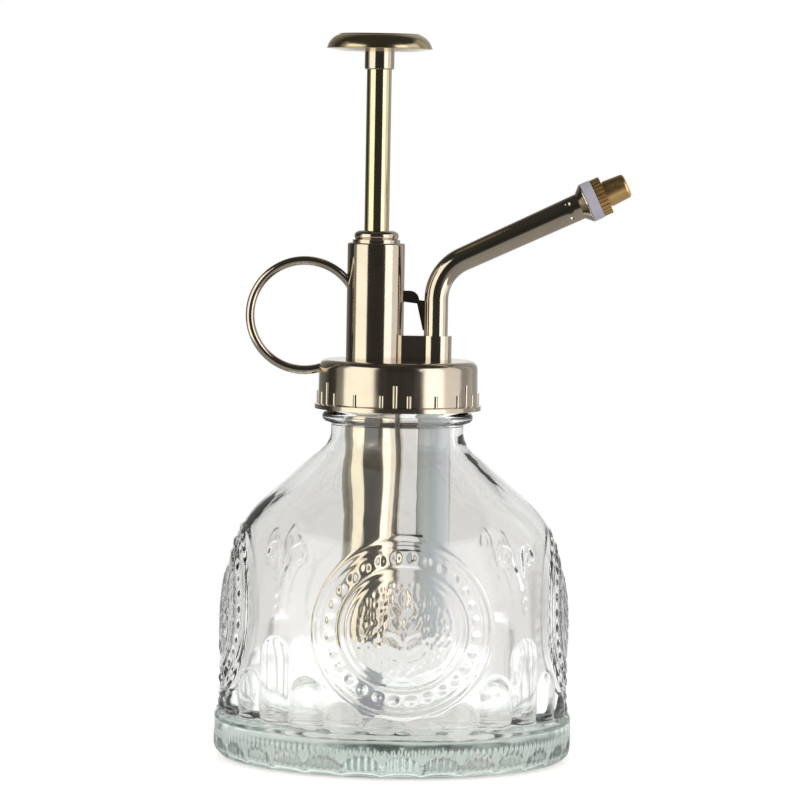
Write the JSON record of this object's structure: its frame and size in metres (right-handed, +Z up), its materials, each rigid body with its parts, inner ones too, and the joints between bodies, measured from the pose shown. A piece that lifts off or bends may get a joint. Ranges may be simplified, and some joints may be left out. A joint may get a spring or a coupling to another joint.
{
  "type": "hand mister",
  "caption": "Pressed-glass bottle with a screw-on bronze plunger pump, finger ring and upturned spray arm, for misting plants by thumb.",
  "frame": {"origin": "centre of the bottle's resting face, on the bottle's axis", "axes": "+Z up along the bottle's axis, +X towards the nozzle, -Y towards the side seen first"},
  "size_m": [0.0935, 0.082, 0.1654],
  "materials": {
    "clear_glass": "gloss",
    "black_rubber": "matte",
    "antique_bronze": "polished",
    "dark_bronze": "polished",
    "knob_bronze": "polished",
    "rod_bronze": "polished",
    "yellow_brass": "satin",
    "grey_plastic": "satin",
    "translucent_plastic": "gloss",
    "spring_steel": "polished"
  },
  "bodies": {
    "bottle": {"bottle": "clear_glass"},
    "gasket": {"neck_gasket": "black_rubber"},
    "head": {"screw_cap": "antique_bronze", "finger_ring": "antique_bronze", "pump_barrel": "antique_bronze", "gland_nut": "dark_bronze", "rod_seal": "black_rubber", "outlet_socket": "antique_bronze", "arm_brace": "dark_bronze", "spray_arm": "antique_bronze", "nozzle_seat": "antique_bronze", "nozzle_washer": "grey_plastic", "swirl_core": "grey_plastic", "delivery_tube": "translucent_plastic", "tube_spacer": "dark_bronze", "valve_foot": "translucent_plastic", "ball_cage": "grey_plastic", "dip_tube": "translucent_plastic", "strainer": "grey_plastic", "return_spring": "spring_steel"},
    "plunger": {"thumb_knob": "knob_bronze", "knob_ferrule": "antique_bronze", "plunger_rod": "rod_bronze", "piston_head": "yellow_brass", "piston_seal": "black_rubber", "piston_nut": "yellow_brass"},
    "nozzle": {"nozzle_spout": "yellow_brass"},
    "inlet_valve": {"inlet_ball": "spring_steel"},
    "outlet_valve": {"outlet_ball": "spring_steel"}
  },
  "joints": [
    {"name": "cap_lift", "type": "slide", "parent": "bottle", "child": "gasket", "axis": [0, 0, 1], "range_m": [0, 0.0032]},
    {"name": "cap_turn", "type": "hinge", "parent": "gasket", "child": "head", "pos_m": [0, 0, 0.088], "axis": [0, 0, 1], "range_deg": [0, 360]},
    {"name": "plunger_press", "type": "slide", "parent": "head", "child": "plunger", "axis": [0, 0, -1], "range_m": [0, 0.036], "stiffness_N_per_m": 120, "springref_m": -0.012, "deforming": ["return_spring"]},
    {"name": "nozzle_twist", "type": "hinge", "parent": "head", "child": "nozzle", "pos_m": [0.0084, 0, 0.1115], "axis": [0.9041, 0, 0.4274], "range_deg": [0, 360]},
    {"name": "inlet_ball_lift", "type": "slide", "parent": "head", "child": "inlet_valve", "axis": [0, 0, 1], "range_m": [0, 0.0015]},
    {"name": "outlet_ball_lift", "type": "slide", "parent": "head", "child": "outlet_valve", "axis": [0, 0, 1], "range_m": [0, 0.0012]}
  ],
  "couplings": [
    {"joint": "cap_turn", "follows": "cap_lift", "rad_per_m": 1963.5}
  ]
}
